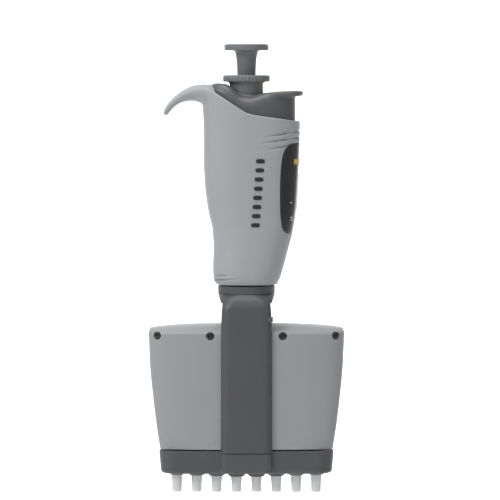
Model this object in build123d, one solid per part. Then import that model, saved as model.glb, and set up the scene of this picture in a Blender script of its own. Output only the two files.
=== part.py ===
from build123d import *
import math
import os

# Eight-channel air-displacement pipette, 20 to 200 microlitres, in millimetres.
# +Z runs up the handle, X lies along the row of nozzles, and the display is on the +X side.
# The origin is the middle of the nozzle row, in the plane of the nozzle ends.
# The front of the handle and module faces -Y, and most of the pipette is the same on +Y.

# --- driving dimensions ---
channels = 8
nozzle_pitch = 9.0  # microplate wells are 9 mm apart
piston_radius = 2.75
measuring_stroke = 8.42  # 200 microlitres over one piston's area
blowout_stroke = 2.2
push_stroke = measuring_stroke + blowout_stroke
volume_travel = 7.58  # from 200 down to 20 microlitres
thread_lead = volume_travel / 9  # 20 microlitres for each turn of the ring
eject_stroke = 7.0

fit_gap = 0.05  # radial clearance of a running fit
clear = 0.4  # between pieces that only pass each other
button_gap = 0.8  # round the ejector button's skirt, since the handle narrows downwards
skirt_wall = 1.4
skirt_back = -17.9  # flat back of the skirt, which passes the root of the finger hook

# heights up the pipette
comb_top = 19.3
module_bottom = 19.9
shoulder_bottom = 85.0
ring_bottom = 90.4
ring_top = 93.7
handle_bottom = 94.3
pocket_floor = 150.0
button_top = 202.7

# handle
handle_wall = 1.8
rim_wall = 1.3
handle_power = 2.4
handle_outline = [  # height, hook-side x, display-side x, half depth
    (94.3, -13.4, 13.6, 12.9),
    (97.0, -15.2, 15.2, 14.2),
    (103.0, -15.2, 17.0, 14.4),
    (110.0, -14.9, 18.9, 14.3),
    (118.0, -15.3, 20.9, 14.3),
    (127.0, -17.2, 22.3, 14.5),
    (138.0, -18.7, 23.1, 14.8),
    (150.0, -19.3, 23.7, 15.0),
    (164.0, -19.3, 24.2, 15.1),
    (176.0, -20.0, 24.2, 15.2),
    (188.0, -20.9, 24.2, 15.2),
]
hook_half_width = 8.5

# drive, on the handle's axis
rod_radius = 2.0
spindle_radius = 4.8
neck_radius = 7.6
ring_radius = 10.6
bore_radius = 5.5
gear_module = 0.5
drive_teeth = 36
counter_teeth = 18
counter_x = gear_module * (drive_teeth + counter_teeth) / 2
gear_z = 158.5
gear_height = 3.0
drum_radius = 5.9
drum_height = 5.1
drum_bottom = 128.2
ejector_rod_x = -10.9
ejector_rod_radius = 1.4

# eight-channel module
shell_wall = 1.4
module_outline = [  # height, half width, half depth
    (19.9, 39.2, 8.2),
    (44.0, 42.4, 10.2),
    (73.2, 44.3, 12.4),
]
module_crown = [(73.2, 44.3, 12.4), (74.6, 43.7, 11.8), (76.0, 42.6, 9.6), (76.9, 40.0, 6.0)]
nozzle_x = [(i - (channels - 1) / 2) * nozzle_pitch for i in range(channels)]
plate_top = 26.0
cylinder_top = 41.0
seal_top = 43.0
beam_bottom = 57.0
beam_top = 62.0
bridge_bottom = 64.8
bridge_top = 68.8
post_x = 36.6
post_radius = 1.25
hub_radius = 6.5
hub_bore = 4.4
column_half_width = 11.6
column_outline = [  # height, half depth
    (18.3, 11.4),
    (78.0, 15.9),
    (85.0, 15.7),
]
module_screw_x = [-40.2, -16.3, 16.3, 40.2]
module_screw_z = 71.6

parts = {}


def oval(z, x_left, x_right, half_depth, power=2.0, corners=12):
    """Closed smooth outline across the Z axis: an ellipse at power 2, squarer above it."""
    centre = (x_left + x_right) / 2
    half_width = (x_right - x_left) / 2
    points = []
    for i in range(corners):
        turn = 2 * math.pi * (i + 0.5) / corners
        c, s = math.cos(turn), math.sin(turn)
        reach = (abs(c) ** power + abs(s) ** power) ** (-1 / power)
        points.append((centre + half_width * reach * c, half_depth * reach * s, z))
    return make_face(Spline(*points, periodic=True))


def handle_body(inset=0.0):
    """The handle's smooth outer form, or the same form shrunk by inset all round."""
    return loft(
        [
            oval(z, left + inset, right - inset, depth - inset, handle_power)
            for z, left, right, depth in handle_outline
        ]
    )


def bar_body(outline, inset=0.0, roundness=0.9):
    """A bar with rounded ends through sections of height, half width and half depth."""
    sections = []
    for z, width, depth in outline:
        width, depth = width - inset, depth - inset
        sections.append(Pos(0, 0, z) * RectangleRounded(2 * width, 2 * depth, roundness * depth))
    return loft(sections, ruled=True)


def slab(z0, z1, x0=-60, x1=60, y0=-30, y1=30):
    return Pos((x0 + x1) / 2, (y0 + y1) / 2, (z0 + z1) / 2) * Box(x1 - x0, y1 - y0, z1 - z0)


def disc(radius, z0, z1, x=0.0, y=0.0):
    return Pos(x, y, (z0 + z1) / 2) * Cylinder(radius, z1 - z0)


def group(shapes):
    """Separate solids kept together in one node."""
    return Compound(children=[solid for shape in shapes for solid in shape.solids()])


def tube(outer, inner, z0, z1, x=0.0, y=0.0):
    return disc(outer, z0, z1, x, y) - disc(inner, z0 - 1, z1 + 1, x, y)


def side_profile(outline, y0, y1):
    """Extrudes a closed outline of the XZ plane between two depths."""
    face = Pos(0, y0, 0) * (Plane.XZ * make_face(outline))
    return extrude(face, amount=y1 - y0, dir=(0, 1, 0))


def turned(outline):
    """Turns a closed half outline of the XZ plane about the Z axis."""
    return revolve(Plane.XZ * make_face(outline), Axis.Z)


def spring(radius, wire, z0, z1, turns, x=0.0):
    """Coil spring whose wire stays between its two end planes."""
    height = z1 - z0 - 2 * wire
    path = Helix(pitch=height / turns, height=height, radius=radius)
    coil = sweep(Plane(origin=path @ 0, z_dir=path % 0) * Circle(wire), path=path, is_frenet=True)
    return Pos(x, 0, z0 + wire) * coil


def gear(teeth, z0, z1, bore, x=0.0, turn=0.0):
    """Spur gear with straight-sided teeth, thin enough to mesh freely."""
    pitch_radius = gear_module * teeth / 2
    root = pitch_radius - 1.25 * gear_module
    tip = pitch_radius + 0.85 * gear_module
    tooth_half = math.pi / teeth / 2 * 0.86
    points = []
    for i in range(teeth):
        middle = 2 * math.pi * i / teeth + turn
        for radius, side in ((root, -1.45), (tip, -0.5), (tip, 0.5), (root, 1.45)):
            a = middle + side * tooth_half
            points.append((radius * math.cos(a), radius * math.sin(a)))
    blank = extrude(make_face(Polyline(*points, close=True)), amount=z1 - z0)
    return Pos(x, 0, z0) * blank - disc(bore, z0 - 1, z1 + 1, x)


def y_screw(x, y_head, z, direction, head_radius, head_height, shank_radius, length):
    """Screw along Y; its head's outer face is at y_head and it points along direction."""
    head = Pos(x, y_head + direction * head_height / 2, z) * Rot(90, 0, 0)
    head = head * Cylinder(head_radius, head_height)
    shank = Pos(x, y_head + direction * (head_height + length / 2), z) * Rot(90, 0, 0)
    shank = shank * Cylinder(shank_radius, length)
    slot = Pos(x, y_head + direction * 0.3, z) * Box(head_radius * 1.3, 0.6, 0.5)
    return head + shank - slot


# --- handle ---
def rim_cut():
    """Everything above the sloping rim line, right across the handle."""
    rim = Spline(
        (-20.6, 184.4), (-16.4, 181.8), (-8.2, 176.7), (-0.5, 171.9), (6.0, 170.2),
        (14.0, 169.2), (27.0, 167.4),
    )
    top = Polyline((27.0, 167.4), (27.0, 200), (-45, 200), (-45, 185.3), (-20.6, 184.4))
    return side_profile(rim + top, -30, 30)


def finger_hook():
    """The hook that rests on the forefinger, a tongue that narrows to a rounded tip."""
    back = Spline(
        (-14.0, 184.2), (-20.8, 184.6), (-25.0, 183.8), (-29.1, 181.7), (-32.4, 179.2),
        (-35.3, 176.3), (-37.3, 172.8), (-37.4, 170.6),
    )
    tip = ThreePointArc((-37.4, 170.6), (-36.4, 170.0), (-35.4, 170.7))
    under = Spline((-35.4, 170.7), (-33.6, 173.6), (-30.8, 176.0), (-27.6, 176.9))
    shelf = Line((-27.6, 176.9), (-23.4, 176.9))
    root = ThreePointArc((-23.4, 176.9), (-20.9, 175.8), (-19.8, 173.2))
    inside = Polyline((-19.8, 173.2), (-14.0, 173.2), (-14.0, 184.2))
    hook = side_profile(back + tip + under + shelf + root + inside, -20, 20)
    plan = oval(160, -38.2, -2.0, hook_half_width + 1.2, 2.6)
    return hook & extrude(plan, amount=40)


def display_prism(grow=0.0):
    """The rounded outline of the black display panel, seen from the front, through the handle."""
    left = Spline(
        (19.5, 117.0), (17.2, 118.0), (15.6, 122.0), (15.0, 134.0), (15.1, 143.0),
        (15.7, 150.0), (17.4, 156.0), (20.0, 157.8),
    )
    back = Polyline((20.0, 157.8), (40.0, 157.8), (40.0, 117.0), (19.5, 117.0))
    return side_profile(left + back, -30, 30)


def grip_grooves():
    """Shallow grooves that follow the skin: three high on the display side, two low down."""
    skin = handle_body(-1.0) - handle_body(0.55)
    lines = [
        ((10.0, 161.2), (30.0, 164.6)),
        ((8.4, 158.4), (30.0, 162.1)),
        ((10.2, 155.9), (19.0, 157.4)),
        ((-20.0, 97.9), (-8.0, 98.7)),
        ((-20.0, 95.9), (-3.0, 97.2)),
    ]
    cutters = []
    for (x0, z0), (x1, z1) in lines:
        half = 0.35
        strip = Polyline(
            (x0, z0), (x1, z1 - half), (x1, z1 + half), (x0, z0 + 0.02), close=True
        )
        cutters.append(side_profile(strip, -30, 30) & skin)
    return cutters


def housing():
    outer = handle_body() + finger_hook()
    cavity = (handle_body(handle_wall) & slab(97.0, 190)) + (
        handle_body(rim_wall) & slab(pocket_floor, 190)
    )
    shell = outer - rim_cut() - cavity
    shell -= display_prism()
    shell -= disc(9.4, 90, 100)
    shell -= disc(ejector_rod_radius + 0.5, 90, 100, ejector_rod_x)
    for groove in grip_grooves():
        shell -= groove
    return shell


def screw_hole(x, y, z, radius, length):
    return Pos(x, y, z) * Rot(90, 0, 0) * Cylinder(radius, length)


housing_screw_z = [121.0, 134.0]


def build_handle():
    shell = housing()
    front = shell & slab(80, 210, y0=-30, y1=-0.05)
    rear = shell & slab(80, 210, y0=0.05, y1=30)
    screws = []
    for z in housing_screw_z:
        rear += screw_hole(-2.0, 12.2, z, 3.4, 2.4)
        rear -= screw_hole(-2.0, 13.0, z, 1.2, 10)
        rear -= screw_hole(-2.0, 14.8, z, 2.3, 4)
        screws.append(y_screw(-2.0, 14.2, z, -1, 2.0, 1.3, 1.0, 4.0))
    parts["housing_front"] = front
    parts["housing_rear"] = rear
    parts["housing_screws"] = group(screws)

    panel = (handle_body(-0.2) - handle_body(rim_wall)) & display_prism()
    window = slab(128.0, 144.0, x0=15, x1=30, y0=-2.6, y1=2.6)
    mark = Pos(24, 0, 149.6) * Rot(0, 90, 0) * Cylinder(1.9, 12)
    parts["counter_window"] = panel & window
    parts["index_mark"] = panel & mark
    parts["display_cover"] = panel - window - mark

    # The frame stands on the swivel socket and carries the drive and the counter.
    frame = disc(10.6, 112, 116) - disc(hub_bore, 111, 117)
    frame += slab(163.5, 167, -9.0, 17.0, -4.0, 4.0) + disc(10.9, 163.5, 167)
    frame -= disc(3.0, 163, 168, -12.9)
    for side in (-1, 1):
        inner, outer = sorted((side * 9.7, side * 10.9))
        wall = slab(112, 167, -4.6, 4.6, inner, outer)
        wall -= slab(137.5, 157.5, -1.7, 1.7, -20, 20)
        frame += wall
    frame += slab(122.5, 126.0, 10.5, 16.5, -3.0, 3.0)
    frame += slab(118.0, 126.0, 10.5, 12.5, -3.0, 3.0) + slab(112, 118.0, 8.0, 12.5, -3.0, 3.0)
    frame -= slab(111, 117, -13.0, -8.4, -3, 3)
    frame -= disc(6.05, 163, 168)
    frame -= disc(1.0 + fit_gap, 123.5, 126.5, counter_x)
    frame -= disc(1.0 + fit_gap, 163.0, 165.5, counter_x)
    for z in housing_screw_z:
        frame -= screw_hole(-2.0, 10.5, z, 1.0, 4)
    frame -= disc(5.6, 116, 139) & slab(116, 139, 5, 20)
    parts["inner_frame"] = frame
    parts["bearing_bush"] = tube(6.05, spindle_radius + fit_gap, 163.5, 167)
    socket = tube(9.0, hub_radius + fit_gap, 94.0, 104.0) + tube(9.0, 7.9, 104.0, 112.0)
    parts["swivel_socket"] = socket
    parts["blowout_plate"] = tube(8.6, 6.7, 126.2, 127.4)
    parts["blowout_spring"] = spring(7.6, 0.55, 116.1, 126.1, 6)
    parts["return_spring"] = spring(5.6, 0.4, 116.1, 139.4, 8)
    parts["ejector_spring"] = spring(1.95, 0.25, 112.6, 144.0, 16, ejector_rod_x)


# --- volume adjuster, counter and plunger ---
def build_drive():
    neck = ThreePointArc((neck_radius, 184.4), (8.0, 185.25), (8.8, 185.6))
    outline = Polyline(
        (8.8, 185.6), (ring_radius - 0.3, 185.6), (ring_radius, 185.9), (ring_radius, 188.4),
        (ring_radius - 0.3, 188.7), (bore_radius + 0.3, 188.7), (bore_radius, 188.4),
        (bore_radius, 174.0), (spindle_radius, 174.0), (spindle_radius, 171.0),
        (neck_radius, 171.0), (neck_radius, 184.4),
    )
    ring = turned(neck + outline)
    flutes = 40
    for i in range(flutes):
        a = 2 * math.pi * i / flutes
        x, y = (ring_radius + 0.32) * math.cos(a), (ring_radius + 0.32) * math.sin(a)
        ring -= disc(0.62, 185, 189, x, y)
    parts["adjustment_ring"] = ring
    spindle = tube(spindle_radius, rod_radius + 0.3, 143.2, 173.9)
    for i in range(15):  # the thread, as one groove per turn below the gear
        z = 144.2 + i * thread_lead
        spindle -= tube(6.0, spindle_radius - 0.3, z, z + thread_lead / 2)
    parts["drive_spindle"] = spindle
    parts["drive_gear"] = gear(drive_teeth, gear_z, gear_z + gear_height, spindle_radius)
    parts["thrust_collar"] = tube(6.3, spindle_radius, 167.1, 169.0)

    nut = tube(7.5, spindle_radius + fit_gap, 147.0, 156.0)
    for side in (-1, 1):
        inner, outer = sorted((side * 6.9, side * 10.6))
        nut += slab(147.0, 156.0, -1.5, 1.5, inner, outer)
    nut -= disc(spindle_radius + fit_gap, 146, 157)
    parts["volume_nut"] = nut

    # Push button: a flared stem under a flat thumb disc with a soft edge.
    stem = Spline((4.15, 188.4), (4.35, 193.5), (5.1, 199.4), tangents=[(0, 1), (0.35, 1)])
    head = Line((5.1, 199.4), (9.6, 199.6))
    edge = ThreePointArc((9.6, 199.6), (9.95, 199.75), (10.1, 200.1))
    edge += Line((10.1, 200.1), (10.1, 202.0))
    edge += ThreePointArc((10.1, 202.0), (9.9, 202.5), (9.4, button_top))
    crown = Line((9.4, button_top), (0, button_top))
    inside = Polyline((0, button_top), (0, 194.0), (rod_radius, 194.0), (rod_radius, 185.5))
    foot = Polyline((rod_radius, 185.5), (4.15, 185.5), (4.15, 188.4))
    parts["push_button"] = turned(stem + head + edge + crown + inside + foot)
    parts["plunger_rod"] = disc(rod_radius, 119.0, 194.0)
    cup = disc(7.5, 139.5, 146.9) - disc(spindle_radius + clear, 142.5, 147.5)
    parts["stop_cup"] = cup - disc(rod_radius, 139, 143)
    rod_socket = disc(4.0, 112.0, 119.0) - disc(3.0, 113.4, 116.4)
    parts["rod_socket"] = rod_socket - disc(rod_radius + fit_gap, 111, 114)

    tooth = math.pi / counter_teeth
    parts["counter_gear"] = gear(
        counter_teeth, gear_z, gear_z + gear_height, 1.0, counter_x, math.pi + tooth
    )
    parts["counter_shaft"] = disc(1.0, 123.6, 165.4, counter_x)
    for i, name in enumerate(("units_drum", "tens_drum", "hundreds_drum")):
        z0 = drum_bottom + i * (drum_height + 0.2)
        bore = 1.0 if i == 0 else 1.0 + fit_gap
        drum = tube(drum_radius, bore, z0, z0 + drum_height, counter_x)
        recess = tube(drum_radius - 1.0, 2.2, z0 + 1.0, z0 + drum_height + 1, counter_x)
        parts[name] = drum - recess


# --- tip ejector ---
def ejector_cap():
    """The saddle's rounded top: cross-sections that rise to the hook and sink at the neck."""
    stations = [  # x, top height, radius of the rounded edge
        (-22.0, 184.4, 3.4),
        (-17.0, 185.0, 4.2),
        (-12.4, 185.1, 4.8),
        (-8.4, 184.2, 5.2),
        (-4.2, 181.2, 5.2),
        (0.5, 179.3, 5.2),
        (5.0, 180.0, 5.2),
        (9.5, 180.9, 4.6),
        (14.0, 181.1, 2.6),
        (25.0, 181.6, 2.4),
    ]
    sections = []
    for x, top, radius in stations:
        bend = radius * (1 - math.sqrt(0.5))
        outline = (
            Line((-13.4, 150), (-13.4, top - radius))
            + ThreePointArc(
                (-13.4, top - radius), (-13.4 + bend, top - bend), (-13.4 + radius, top)
            )
            + Line((-13.4 + radius, top), (13.4 - radius, top))
            + ThreePointArc(
                (13.4 - radius, top), (13.4 - bend, top - bend), (13.4, top - radius)
            )
            + Polyline((13.4, top - radius), (13.4, 150), (-13.4, 150))
        )
        sections.append(Plane((x, 0, 0), (0, 1, 0), (1, 0, 0)) * make_face(outline))
    return loft(sections, ruled=True)


def build_ejector():
    skirt = handle_body(rim_wall + button_gap) & slab(158, 190, x0=skirt_back)
    body = skirt & ejector_cap()
    body += flange_plate()
    hollow = handle_body(rim_wall + button_gap + skirt_wall) & slab(150, 176.6)
    body -= hollow
    upper = handle_body(rim_wall + button_gap + 2 * skirt_wall) & slab(150, 181.6, -40, -9.6)
    body -= upper
    body -= disc(neck_radius + 0.7, 150, 190)
    post = disc(2.4, 150, 184, -12.9) & slab(162, 183, -30, -8.8)
    body += post
    body -= disc(ejector_rod_radius, 150, 176, -12.9)
    parts["ejector_button"] = body
    plate = Pos(16.0, 0, 181.3) * Rot(0, -4.0, 0) * extrude(
        RectangleRounded(10.4, 13.0, 3.0), amount=0.9
    )
    parts["colour_plate"] = plate
    parts["ejector_button"] -= plate

    path = FilletPolyline(
        (-12.9, 0, 176), (-12.9, 0, 152), (ejector_rod_x, 0, 146), (ejector_rod_x, 0, 90.6),
        radius=5,
    )
    profile = Plane(origin=path @ 0, z_dir=path % 0) * Circle(ejector_rod_radius)
    rod = sweep(profile, path=path)
    rod += disc(2.4, 144.1, 145.3, ejector_rod_x)
    parts["ejector_rod"] = rod
    ring = tube(12.9, hub_radius + 0.8, ring_bottom, ring_top)
    parts["ejector_ring"] = ring - disc(ejector_rod_radius, 90, 95, ejector_rod_x)
    clip = tube(8.4, hub_radius + 0.8, 86.4, ring_bottom) + tube(9.6, 8.0, 86.4, 87.4)
    parts["swivel_clip"] = clip


def flange_plate():
    """The thumb flange over the display side, rounded off at its nose."""
    profile = Spline((11.0, 180.9), (18.0, 181.5), (23.0, 181.7), (25.7, 180.2))
    nose = ThreePointArc((25.7, 180.2), (25.5, 179.5), (24.6, 179.2))
    under = Polyline((24.6, 179.2), (20.0, 178.9), (11.0, 178.4), (11.0, 180.9))
    plan = oval(170, -6.0, 25.7, 13.0, 3.0)
    return side_profile(profile + nose + under, -20, 20) & extrude(plan, amount=20)


# --- module ---
def build_module():
    outer = bar_body(module_outline) + bar_body(module_crown)
    cavity = [(z, w - shell_wall, d - shell_wall) for z, w, d in module_outline]
    cavity[0] = (19.0, 37.7, 6.7)
    shell = outer - bar_body(cavity) - disc(hub_radius + 0.1, 60, 90)
    screws = []
    for x in module_screw_x:
        face_y = -11.6 if abs(x) < 30 else -7.9
        boss_y = -face_y - 0.6
        shell += Pos(x, 0, module_screw_z) * Rot(90, 0, 0) * Cylinder(2.4, 2 * boss_y)
        shell -= screw_hole(x, face_y / 2, module_screw_z, 1.0, -face_y + 4)
        shell -= screw_hole(x, face_y, module_screw_z, 1.9, 2.6)
        screw = y_screw(x, face_y + 0.9, module_screw_z, 1, 1.85, 0.4, 1.0, -face_y + 0.6)
        screws.append(screw)
    parts["module_shell_front"] = shell & slab(10, 90, y0=-30, y1=-0.05)
    parts["module_shell_rear"] = shell & slab(10, 90, y0=0.05, y1=30)
    parts["module_screws"] = group(screws)

    bridge = slab(bridge_bottom, bridge_top, -39.2, 39.2, -5.6, 5.6)
    hub = disc(hub_radius, bridge_bottom, 107.0) + disc(7.5, 104.1, 107.0) + bridge
    hub -= disc(hub_bore, 60, 110)
    for x in (-post_x, post_x):
        hub -= disc(post_radius, 60, 68, x)
    parts["module_hub"] = hub
    parts["guide_posts"] = group(disc(post_radius, plate_top, 68.0, x) for x in (-post_x, post_x))

    plate = bar_body([(20.2, 37.2, 6.3), (plate_top, 37.4, 6.5)])
    retainer = slab(seal_top, seal_top + 2.0, -35.1, 35.1, -4.8, 4.8)
    cylinders = []
    seals = []
    for i, x in enumerate(nozzle_x):
        plate -= disc(2.65, 10, 30, x)
        retainer -= disc(piston_radius + 0.15, 40, 50, x)
        cylinders.append(tube(3.6, piston_radius + fit_gap, plate_top, cylinder_top, x))
        seals.append(tube(3.6, piston_radius + fit_gap, cylinder_top, seal_top, x))
        parts[f"nozzle_{i + 1}"] = Pos(x, 0, 0) * nozzle()
    parts["nozzle_plate"] = plate
    parts["seal_retainer"] = retainer
    parts["cylinders"] = group(cylinders)
    parts["piston_seals"] = group(seals)


def nozzle():
    """Hollow tip cone: a short cylindrical land for the tip, then a slight taper."""
    outline = Polyline(
        (1.0, 0.0), (1.8, 0.0), (2.15, 0.35), (2.3, 0.8), (2.3, 3.6), (2.45, 5.4),
        (2.65, 7.4), (2.65, plate_top), (1.0, plate_top), (1.0, 0.0),
    )
    return turned(outline)


def build_carriage():
    beam = slab(beam_bottom, beam_top, -38.9, 38.9, -4.6, 4.6)
    beam = fillet(beam.edges().filter_by(Axis.Z), 2.0)
    for x in (-post_x, post_x):
        beam -= disc(post_radius + fit_gap, 50, 70, x)
    pistons = []
    for x in nozzle_x:
        piston = disc(piston_radius, 38.5, beam_bottom, x) + disc(1.5, beam_bottom, beam_top, x)
        pistons.append(piston)
        beam -= disc(1.5, 50, 70, x)
    beam -= disc(rod_radius, 60, 70)
    parts["piston_beam"] = beam
    parts["pistons"] = group(pistons)
    parts["drive_rod"] = disc(rod_radius, 60.0, 113.5) + disc(2.7, 113.5, 116.2)


def build_comb():
    sections = [
        Pos(0, 0, z) * RectangleRounded(2 * column_half_width, 2 * depth, 3.6)
        for z, depth in column_outline
    ]
    neck = Pos(0, 0, ring_bottom - 0.15) * RectangleRounded(25.7, 25.7, 12.8)
    column = loft(sections, ruled=True) + loft([sections[-1], neck], ruled=True)
    gap_body = bar_body(module_outline, -clear)
    gap_body += bar_body([(73.2, 44.3, 12.4), (86.4, 44.3, 12.4)], -clear)
    gap_body += bar_body([(10.0, 39.2, 8.2), (19.9, 39.2, 8.2)], -clear)
    column -= gap_body
    column -= disc(8.4 + fit_gap, 80, 95)
    column -= disc(9.9, 80, 87.6)
    latch = slab(78.0, 80.4, 7.6, 11.95, -15.2, -13.5)
    column -= slab(77.9, 80.5, 7.0, 12.5, -15.3, -13.4)
    parts["ejector_column"] = column
    latch = fillet(latch.edges().filter_by(Axis.Z), 0.35)
    parts["release_latch"] = latch - slab(79.0, 79.3, 11.7, 13, -20, 0)

    # The comb bar under the module, with a collar round each nozzle.
    bar = bar_body([(8.2, 37.6, 6.8), (9.4, 38.7, 7.9), (13.0, 39.1, 8.2), (comb_top, 39.6, 8.6)])
    block = loft(
        [Pos(0, 0, z) * RectangleRounded(23.2, 2 * d, 3.0) for z, d in ((9.0, 9.9), (18.2, 11.3))]
    )
    hollow = bar_body([(11.5, 37.4, 6.4), (21.0, 37.8, 6.8)])
    bar = (bar + block) - hollow
    for x in nozzle_x:
        bottom = 6.8 + 1.1 * (abs(x) / 31.5)
        collar = disc(3.9, bottom, 12.0, x)
        bar += fillet(collar.edges().group_by(Axis.Z)[0], 1.2)
    for x in nozzle_x:
        bar -= disc(2.65 + 0.35, 0, 14, x)
    pins = []
    for side in (-1, 1):
        pin = disc(0.6, 13.0, 23.0, 0, side * 9.6)
        bar -= pin
        parts["ejector_column"] -= pin
        pins.append(pin)
    parts["comb_bar"] = bar
    parts["comb_pins"] = group(pins)


def main():
    build_handle()
    build_drive()
    build_ejector()
    build_module()
    build_carriage()
    build_comb()
    os.makedirs("parts", exist_ok=True)
    for name, shape in parts.items():
        export_step(shape, f"parts/{name}.step")


main()
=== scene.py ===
import math

import bmesh
import bpy
from mathutils import Matrix, Vector


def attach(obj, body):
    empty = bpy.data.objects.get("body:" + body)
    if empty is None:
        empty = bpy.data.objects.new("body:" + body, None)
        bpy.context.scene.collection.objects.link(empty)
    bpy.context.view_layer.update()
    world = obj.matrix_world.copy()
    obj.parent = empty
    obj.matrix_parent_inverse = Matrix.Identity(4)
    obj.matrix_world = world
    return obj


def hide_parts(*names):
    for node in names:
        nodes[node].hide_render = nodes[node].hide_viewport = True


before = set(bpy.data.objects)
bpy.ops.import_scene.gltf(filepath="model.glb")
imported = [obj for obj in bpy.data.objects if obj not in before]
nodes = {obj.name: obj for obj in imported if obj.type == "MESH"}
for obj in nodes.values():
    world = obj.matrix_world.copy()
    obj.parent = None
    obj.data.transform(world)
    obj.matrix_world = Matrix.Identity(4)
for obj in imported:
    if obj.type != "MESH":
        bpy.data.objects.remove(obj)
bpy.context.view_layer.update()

MM = 0.001

# Everything below is in millimetres until a mesh is made.
# +Z runs up the handle, X along the nozzles, and the front faces -Y.
HANDLE = [  # height, hook-side x, display-side x, half depth
    (94.3, -13.6, 13.8, 12.9),
    (97.0, -15.2, 15.2, 14.1),
    (103.0, -15.2, 17.0, 14.4),
    (110.0, -14.9, 18.9, 14.3),
    (118.0, -15.3, 20.9, 14.3),
    (127.0, -17.2, 22.3, 14.5),
    (138.0, -18.7, 23.1, 14.8),
    (150.0, -19.3, 23.7, 15.0),
    (164.0, -19.3, 24.2, 15.1),
    (176.0, -20.0, 24.2, 15.2),
    (188.0, -20.9, 24.2, 15.2),
]
HANDLE_FOOT = HANDLE[0][0]
HANDLE_POWER = 2.4  # squareness of the handle's oval
# x and height of the handle's sloping rim
RIM = [(-46.0, 185.4), (-20.6, 184.3), (-16.4, 181.8), (-8.2, 176.7), (-1.4, 172.4),
       (0.6, 171.4), (6.0, 170.3), (14.0, 169.2), (27.0, 167.4)]
# height, half width and half depth of the module
MODULE = [(19.9, 39.2, 8.2), (32.0, 41.0, 9.3), (44.0, 42.4, 10.2), (58.0, 43.7, 11.3),
          (73.2, 44.3, 12.4)]
MODULE_POWER = 3.4
MODULE_FOOT = 19.95
CROWN_FOOT = 72.4
SCREW_X = (-40.2, -16.3, 16.3, 40.2)
SCREW_Z = 71.6
CHANNELS = 8
PITCH = 9.0
NOZZLE_X = [(i - (CHANNELS - 1) / 2) * PITCH for i in range(CHANNELS)]


# --- curves through a few driving values ---
def curve(rows, at, column):
    """Smooth value of one column of rows at a height, without overshoot (monotone cubic)."""
    keys = [r[0] for r in rows]
    values = [r[column] for r in rows]
    if at <= keys[0]:
        return values[0]
    if at >= keys[-1]:
        return values[-1]
    i = max(k for k in range(len(keys) - 1) if keys[k] <= at)

    def slope(k):
        if k == 0:
            return (values[1] - values[0]) / (keys[1] - keys[0])
        if k == len(keys) - 1:
            return (values[k] - values[k - 1]) / (keys[k] - keys[k - 1])
        before = (values[k] - values[k - 1]) / (keys[k] - keys[k - 1])
        after = (values[k + 1] - values[k]) / (keys[k + 1] - keys[k])
        return 0.0 if before * after <= 0 else 2 * before * after / (before + after)

    step = keys[i + 1] - keys[i]
    t = (at - keys[i]) / step
    return (
        (1 + 2 * t) * (1 - t) ** 2 * values[i]
        + t * (1 - t) ** 2 * step * slope(i)
        + t * t * (3 - 2 * t) * values[i + 1]
        + t * t * (t - 1) * step * slope(i + 1)
    )


def oval_point(turn, half_width, half_depth, power):
    c, s = math.cos(turn), math.sin(turn)
    reach = (abs(c) ** power + abs(s) ** power) ** (-1 / power)
    return half_width * reach * c, half_depth * reach * s


def handle_point(turn, z, inset=0.0):
    """Point of the handle's skin at a turn about its axis and a height."""
    left = curve(HANDLE, z, 1) + inset
    right = curve(HANDLE, z, 2) - inset
    depth = curve(HANDLE, z, 3) - inset
    x, y = oval_point(turn, (right - left) / 2, depth, HANDLE_POWER)
    return (left + right) / 2 + x, y


def handle_front_y(x, z, inset=0.0):
    """Depth of the handle's front skin at a place seen from the front."""
    left = curve(HANDLE, z, 1) + inset
    right = curve(HANDLE, z, 2) - inset
    share = min(abs((x - (left + right) / 2) / ((right - left) / 2)), 0.999)
    return -(curve(HANDLE, z, 3) - inset) * (1 - share**HANDLE_POWER) ** (1 / HANDLE_POWER)


def module_front_y(x, z):
    width, depth = curve(MODULE, z, 1), curve(MODULE, z, 2)
    return -depth * (1 - (abs(x) / width) ** MODULE_POWER) ** (1 / MODULE_POWER)


# --- meshes ---
def new_object(name, points, faces, smooth=True):
    mesh = bpy.data.meshes.new(name)
    mesh.from_pydata([tuple(c * MM for c in p) for p in points], [], faces)
    obj = bpy.data.objects.new(name, mesh)
    bpy.context.scene.collection.objects.link(obj)
    tidy_mesh(obj)
    for polygon in mesh.polygons:
        polygon.use_smooth = smooth
    return obj


def tidy_mesh(obj):
    bm = bmesh.new()
    bm.from_mesh(obj.data)
    bmesh.ops.remove_doubles(bm, verts=bm.verts, dist=1e-7)
    bmesh.ops.recalc_face_normals(bm, faces=bm.faces)
    bm.to_mesh(obj.data)
    bm.free()


def grid(name, rows, closed=True, cap_first=False, cap_last=False):
    """Skin over rows of points; each row is a ring when closed."""
    count = len(rows[0])
    points = [p for row in rows for p in row]
    faces = []
    for r in range(len(rows) - 1):
        for c in range(count if closed else count - 1):
            d = (c + 1) % count
            faces.append((r * count + c, r * count + d, (r + 1) * count + d, (r + 1) * count + c))
    if cap_first:
        faces.append(tuple(range(count))[::-1])
    if cap_last:
        faces.append(tuple(range((len(rows) - 1) * count, len(rows) * count)))
    return new_object(name, points, faces)


def turned(name, outline, x=0.0, segments=64, ripple=None):
    """Turns an outline of (radius, height) about a vertical axis; a closed outline is a ring."""
    rows = []
    for radius, z in outline:
        row = []
        for i in range(segments):
            turn = 2 * math.pi * i / segments
            r = radius if ripple is None else ripple(radius, z, turn)
            row.append((x + r * math.cos(turn), r * math.sin(turn), z))
        rows.append(row)
    return grid(name, rows)


def arc(centre, radius, start, end, steps=6):
    """Points of an arc in (radius, height), angles in degrees."""
    points = []
    for i in range(steps + 1):
        a = math.radians(start + (end - start) * i / steps)
        points.append((centre[0] + radius * math.cos(a), centre[1] + radius * math.sin(a)))
    return points


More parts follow.
